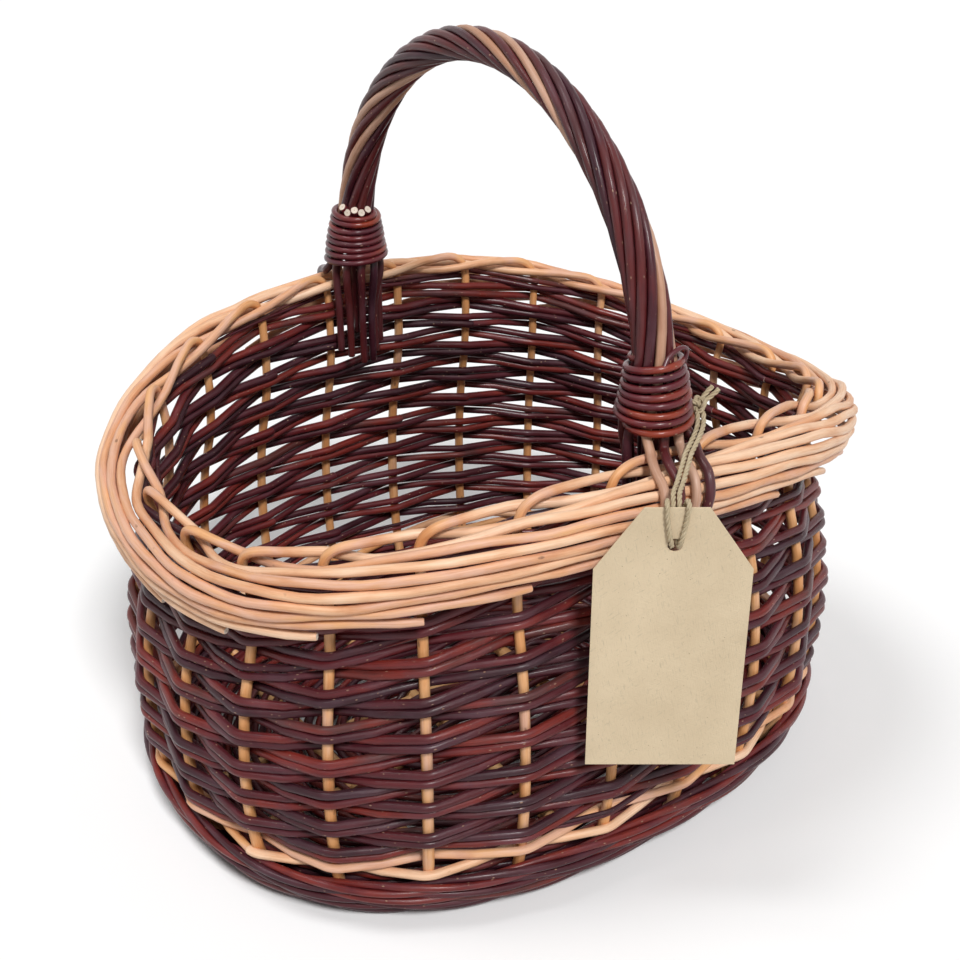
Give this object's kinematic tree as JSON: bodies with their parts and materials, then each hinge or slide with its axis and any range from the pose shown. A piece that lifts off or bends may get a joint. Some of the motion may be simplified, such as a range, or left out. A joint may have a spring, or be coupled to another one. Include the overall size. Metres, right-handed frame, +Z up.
{
  "type": "foraging basket",
  "caption": "Oval woven willow foraging basket with rolled border, waled foot, twisted arch handle with bound legs and a blank card tag on twine.",
  "frame": {"origin": "middle of the foot on the floor, under the middle of the basket's oval", "axes": "+Z up, +X along the basket's long axis, the handle stands in the YZ plane and the tag hangs on the -Y side"},
  "size_m": [0.399, 0.362, 0.3863],
  "materials": {
    "peeled_willow": "peeled willow, dry and slightly glossy",
    "brown_willow": "unpeeled dark willow bark with a faint sheen",
    "red_willow": "unpeeled red-brown willow bark with a faint sheen",
    "kraft_card": "matte kraft card",
    "jute_twine": "matte three-ply twine"
  },
  "bodies": {
    "basket": {"stake_01": "peeled_willow", "stake_02": "peeled_willow", "stake_03": "peeled_willow", "stake_04": "peeled_willow", "stake_05": "peeled_willow", "stake_06": "peeled_willow", "stake_07": "peeled_willow", "stake_08": "peeled_willow", "stake_09": "peeled_willow", "stake_10": "peeled_willow", "stake_11": "peeled_willow", "stake_12": "peeled_willow", "stake_13": "peeled_willow", "stake_14": "peeled_willow", "stake_15": "peeled_willow", "stake_16": "peeled_willow", "stake_17": "peeled_willow", "stake_18": "peeled_willow", "stake_19": "peeled_willow", "stake_20": "peeled_willow", "stake_21": "peeled_willow", "stake_22": "peeled_willow", "stake_23": "peeled_willow", "stake_24": "peeled_willow", "pairing_rod_lower": "peeled_willow", "pairing_rod_upper": "peeled_willow", "cross_stick_1": "peeled_willow", "cross_stick_2": "peeled_willow", "cross_stick_3": "peeled_willow", "cross_stick_4": "peeled_willow", "long_stick_1": "peeled_willow", "long_stick_2": "peeled_willow", "side_weave_lower_a": "brown_willow", "side_weave_lower_b": "brown_willow", "side_weave_upper_a": "brown_willow", "side_weave_upper_b": "brown_willow", "foot_wale": "brown_willow", "base_weave": "brown_willow", "handle_core": "brown_willow", "handle_rod_01": "red_willow", "handle_rod_02": "red_willow", "handle_rod_03": "red_willow", "handle_rod_04": "red_willow", "handle_rod_05": "red_willow", "handle_rod_06": "red_willow", "handle_rod_07": "red_willow", "handle_rod_08": "red_willow", "handle_rod_09": "red_willow", "handle_rod_10": "red_willow", "binding_front": "red_willow", "binding_back": "red_willow", "twine_knot": "jute_twine"},
    "tag": {"hang_tag": "kraft_card", "twine_loop": "jute_twine"}
  },
  "joints": [
    {"name": "tag_swing", "type": "hinge", "parent": "basket", "child": "tag", "pos_m": [0.02, -0.1335, 0.2425], "axis": [-0.8151, 0.5793, 0], "range_deg": [0, 70]}
  ]
}
